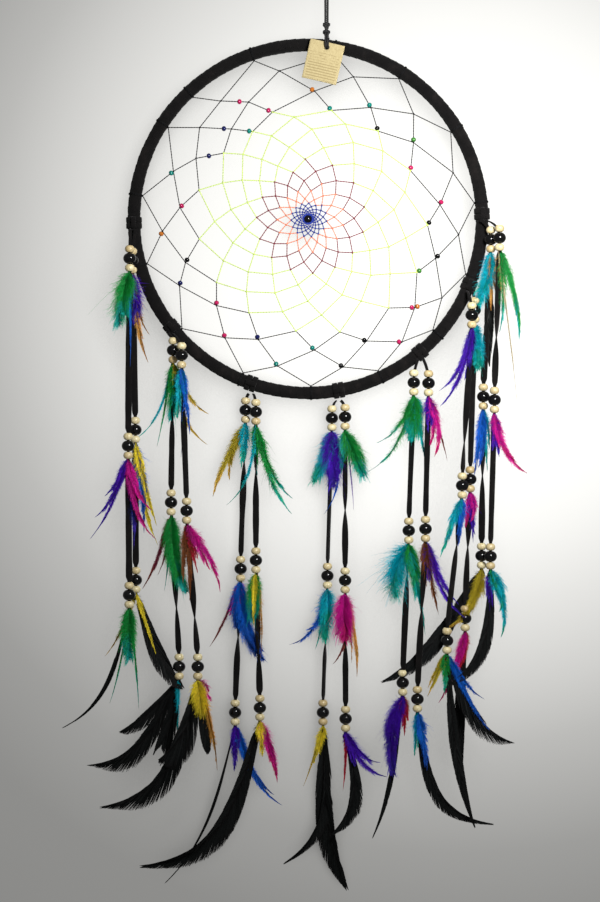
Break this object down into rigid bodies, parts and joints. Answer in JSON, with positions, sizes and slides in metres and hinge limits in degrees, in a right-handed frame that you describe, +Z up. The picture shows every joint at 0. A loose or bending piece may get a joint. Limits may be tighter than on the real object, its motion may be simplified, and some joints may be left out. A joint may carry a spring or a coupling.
{
  "type": "dream catcher",
  "caption": "Hanging ornament: suede-wrapped hoop with a beaded thread web in several colours, a card tag, and lace pendants with wood and black beads and dyed feathers.",
  "frame": {"origin": "the top of the hanging loop, where the hook bears", "axes": "+Z up, +X to the viewer's right, the viewer looks along +Y, so the face is towards -Y"},
  "size_m": [0.4525, 0.0425, 0.9396],
  "materials": {
    "cord": "twisted black cord",
    "suede": "black suede, matte nap",
    "rattan": "raw rattan",
    "card": "uncoated kraft card",
    "thread_black": "waxed thread",
    "thread_lime": "dyed thread",
    "thread_red": "dyed thread",
    "thread_orange": "dyed thread",
    "thread_blue": "dyed thread",
    "bead_pink": "glossy",
    "bead_teal": "glossy",
    "bead_navy": "glossy",
    "bead_black": "glossy",
    "bead_green": "glossy",
    "bead_amber": "glossy",
    "bead_wood": "natural, waxed",
    "feather_dyed": "dyed feathers, several colours",
    "feather_black": "black cock-tail feathers with a green sheen"
  },
  "bodies": {
    "hanger": {"hanging_cord": "cord"},
    "knot": {"hanger_knot": "cord"},
    "hoop": {"hoop_core": "rattan", "hoop_wrap": "suede", "hoop_tie": "cord", "web_black": "thread_black", "web_lime": "thread_lime", "web_red": "thread_red", "web_orange": "thread_orange", "web_blue": "thread_blue", "web_centre_bead": "bead_black", "web_beads_pink": "bead_pink", "web_beads_teal": "bead_teal", "web_beads_navy": "bead_navy", "web_beads_black": "bead_black", "web_beads_green": "bead_green", "web_beads_amber": "bead_amber", "hitch_a": "suede", "hitch_b": "suede", "hitch_c": "suede", "hitch_d": "suede", "hitch_e": "suede", "hitch_f": "suede", "hitch_g": "suede"},
    "tag": {"swing_tag": "card"},
    "pendant_a": {"lace_a": "suede", "wood_beads_a": "bead_wood", "black_beads_a": "bead_black", "dyed_feathers_a": "feather_dyed", "coque_feathers_a": "feather_black"},
    "pendant_b": {"lace_b": "suede", "wood_beads_b": "bead_wood", "black_beads_b": "bead_black", "dyed_feathers_b": "feather_dyed", "coque_feathers_b": "feather_black"},
    "pendant_c": {"lace_c": "suede", "wood_beads_c": "bead_wood", "black_beads_c": "bead_black", "dyed_feathers_c": "feather_dyed", "coque_feathers_c": "feather_black"},
    "pendant_d": {"lace_d": "suede", "wood_beads_d": "bead_wood", "black_beads_d": "bead_black", "dyed_feathers_d": "feather_dyed", "coque_feathers_d": "feather_black"},
    "pendant_e": {"lace_e": "suede", "wood_beads_e": "bead_wood", "black_beads_e": "bead_black", "dyed_feathers_e": "feather_dyed", "coque_feathers_e": "feather_black"},
    "pendant_f": {"lace_f": "suede", "wood_beads_f": "bead_wood", "black_beads_f": "bead_black", "dyed_feathers_f": "feather_dyed", "coque_feathers_f": "feather_black"},
    "pendant_g": {"lace_g": "suede", "wood_beads_g": "bead_wood", "black_beads_g": "bead_black", "dyed_feathers_g": "feather_dyed", "coque_feathers_g": "feather_black"}
  },
  "joints": [
    {"name": "hoop_twist", "type": "hinge", "parent": "hanger", "child": "knot", "pos_m": [0, 0, -0.0605], "axis": [0, 0, 1], "range_deg": [-90, 90]},
    {"name": "hoop_swing", "type": "hinge", "parent": "knot", "child": "hoop", "pos_m": [0, 0, -0.0642], "axis": [-1, 0, 0], "range_deg": [-45, 45]},
    {"name": "tag_swing", "type": "hinge", "parent": "hoop", "child": "tag", "pos_m": [0, -0.0125, -0.08099], "axis": [-1, 0, 0], "range_deg": [0, 60]},
    {"name": "pendant_a_swing", "type": "hinge", "parent": "hoop", "child": "pendant_a", "pos_m": [-0.1925, -0.0112, -0.2655], "axis": [-1, 0, 0], "range_deg": [0, 60]},
    {"name": "pendant_b_swing", "type": "hinge", "parent": "hoop", "child": "pendant_b", "pos_m": [-0.1547, -0.0112, -0.3698], "axis": [-1, 0, 0], "range_deg": [0, 60]},
    {"name": "pendant_c_swing", "type": "hinge", "parent": "hoop", "child": "pendant_c", "pos_m": [-0.0755, 0, -0.429], "axis": [-1, 0, 0], "range_deg": [-60, 60]},
    {"name": "pendant_d_swing", "type": "hinge", "parent": "hoop", "child": "pendant_d", "pos_m": [0.012, 0, -0.4359], "axis": [-1, 0, 0], "range_deg": [-60, 60]},
    {"name": "pendant_e_swing", "type": "hinge", "parent": "hoop", "child": "pendant_e", "pos_m": [0.0935, -0.0112, -0.3947], "axis": [-1, 0, 0], "range_deg": [0, 60]},
    {"name": "pendant_f_swing", "type": "hinge", "parent": "hoop", "child": "pendant_f", "pos_m": [0.1425, -0.0112, -0.3275], "axis": [-1, 0, 0], "range_deg": [0, 60]},
    {"name": "pendant_g_swing", "type": "hinge", "parent": "hoop", "child": "pendant_g", "pos_m": [0.1554, -0.0112, -0.2565], "axis": [-1, 0, 0], "range_deg": [0, 60]}
  ]
}
